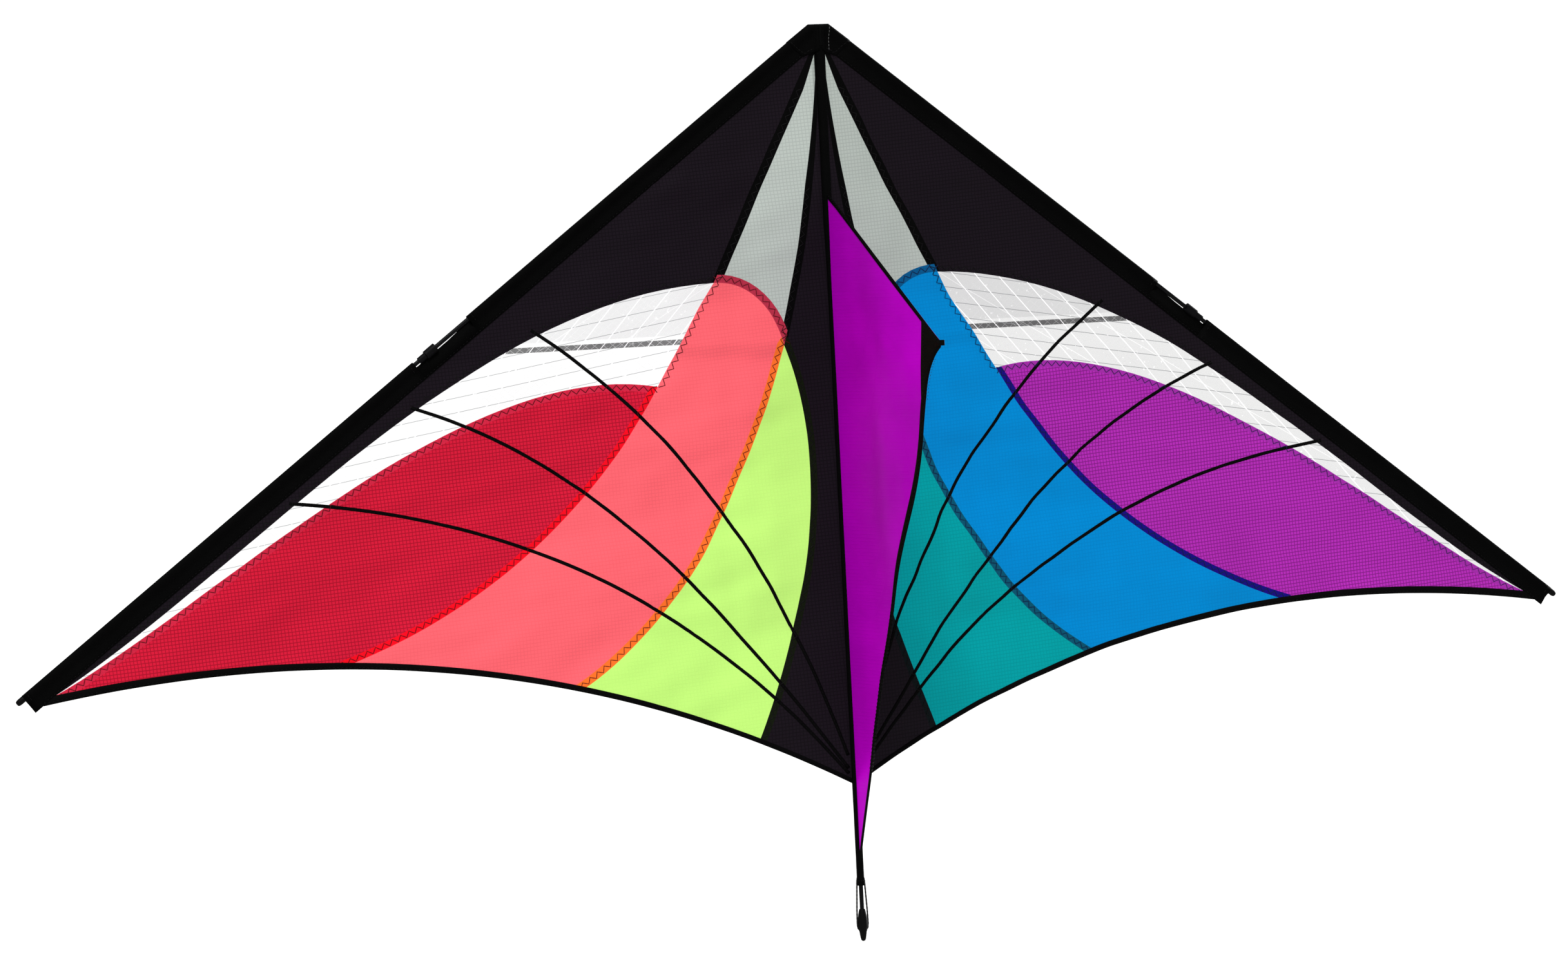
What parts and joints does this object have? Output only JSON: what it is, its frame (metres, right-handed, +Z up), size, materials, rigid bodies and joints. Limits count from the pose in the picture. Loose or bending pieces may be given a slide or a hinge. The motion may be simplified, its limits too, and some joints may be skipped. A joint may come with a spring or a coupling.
{
  "type": "delta kite",
  "caption": "Single-line delta kite with a coloured panelled sail, rods in sleeves, a spreader across the back and a triangular keel with a tow loop.",
  "frame": {"origin": "centre of the eye in the tow loop, at the point of the keel", "axes": "+Z up the spine to the nose, +X along the span, +Y from the keel side to the back of the sail"},
  "size_m": [1.56, 0.3374, 0.854],
  "materials": {
    "rod_black": "smooth black glass-fibre rod, slight gloss",
    "ferrule_metal": "drawn tube, satin",
    "sleeve_black": "heavy black woven polyester, matt",
    "cap_vinyl": "soft vinyl, satin",
    "elastic_black": "braided elastic cord",
    "moulding_black": "moulded nylon, satin",
    "ripstop_charcoal": "thin ripstop with a fine grid, semi-gloss",
    "clear_laminate": "clear film with crossed threads laid in it, glossy",
    "ripstop_red": "thin ripstop, lets light through",
    "ripstop_magenta": "thin ripstop, lets light through",
    "ripstop_coral": "thin ripstop, lets light through",
    "ripstop_blue": "thin ripstop, lets light through",
    "ripstop_lime": "thin ripstop, lets light through",
    "ripstop_teal": "thin ripstop, lets light through",
    "ripstop_grey": "thin ripstop, lets light through",
    "hem_black": "folded black polyester tape, sewn",
    "ripstop_purple": "thin ripstop, semi-gloss",
    "webbing_black": "close woven reinforcing cloth and webbing"
  },
  "bodies": {
    "spine": {"spine_rod_upper": "rod_black", "spine_rod_lower": "rod_black", "spine_ferrule": "ferrule_metal", "spine_sleeve": "sleeve_black", "nose_pocket": "sleeve_black", "spine_end_cap": "cap_vinyl", "tail_bungee": "elastic_black"},
    "left_wing": {"left_le_rod_upper": "rod_black", "left_le_rod_lower": "rod_black", "left_le_ferrule": "ferrule_metal", "left_tip_cap": "cap_vinyl", "left_le_sleeve": "sleeve_black", "left_spreader_fitting": "moulding_black", "left_stop_ring": "moulding_black", "left_pivot_pin": "ferrule_metal", "left_leading_panel": "ripstop_charcoal", "left_clear_panel": "clear_laminate", "left_outer_panel": "ripstop_red", "left_middle_panel": "ripstop_coral", "left_inner_panel": "ripstop_lime", "left_gusset": "ripstop_grey", "left_centre_panel": "ripstop_charcoal", "left_trailing_hem": "hem_black", "left_sail_tapes": "hem_black"},
    "right_wing": {"right_le_rod_upper": "rod_black", "right_le_rod_lower": "rod_black", "right_le_ferrule": "ferrule_metal", "right_tip_cap": "cap_vinyl", "right_le_sleeve": "sleeve_black", "right_spreader_fitting": "moulding_black", "right_stop_ring": "moulding_black", "right_pivot_pin": "ferrule_metal", "right_leading_panel": "ripstop_charcoal", "right_clear_panel": "clear_laminate", "right_outer_panel": "ripstop_magenta", "right_middle_panel": "ripstop_blue", "right_inner_panel": "ripstop_teal", "right_gusset": "ripstop_grey", "right_centre_panel": "ripstop_charcoal", "right_trailing_hem": "hem_black", "right_sail_tapes": "hem_black"},
    "left_spreader": {"left_spreader_tube": "rod_black", "left_spreader_eye": "moulding_black", "spreader_ferrule": "ferrule_metal"},
    "right_spreader": {"right_spreader_tube": "rod_black", "right_spreader_eye": "moulding_black", "spreader_end_plug": "ferrule_metal"},
    "keel": {"keel_panel": "ripstop_purple", "keel_front_hem": "hem_black", "keel_rear_hem": "hem_black", "tow_patch": "webbing_black", "tow_loop": "webbing_black"}
  },
  "joints": [
    {"name": "left_wing_fold", "type": "hinge", "parent": "spine", "child": "left_wing", "pos_m": [0, 0.257, 0], "axis": [0, 0, -1], "range_deg": [0, 60]},
    {"name": "right_wing_fold", "type": "hinge", "parent": "spine", "child": "right_wing", "pos_m": [0, 0.257, 0], "axis": [0, 0, 1], "range_deg": [0, 60]},
    {"name": "left_spreader_swing", "type": "hinge", "parent": "left_wing", "child": "left_spreader", "pos_m": [-0.37055, 0.30284, 0.00975], "axis": [0, 1, 0], "range_deg": [-38, 0]},
    {"name": "right_spreader_swing", "type": "hinge", "parent": "right_wing", "child": "right_spreader", "pos_m": [0.37055, 0.30284, 0.00975], "axis": [0, 1, 0], "range_deg": [-38, 0]},
    {"name": "keel_swing", "type": "hinge", "parent": "spine", "child": "keel", "pos_m": [0, 0.257, 0], "axis": [0, 0, 1], "range_deg": [-80, 80]}
  ],
  "couplings": [
    {"joint": "right_wing_fold", "follows": "left_wing_fold", "ratio": 1},
    {"joint": "left_spreader_swing", "follows": "left_wing_fold", "ratio": -0.62},
    {"joint": "right_spreader_swing", "follows": "left_wing_fold", "ratio": -0.62}
  ]
}
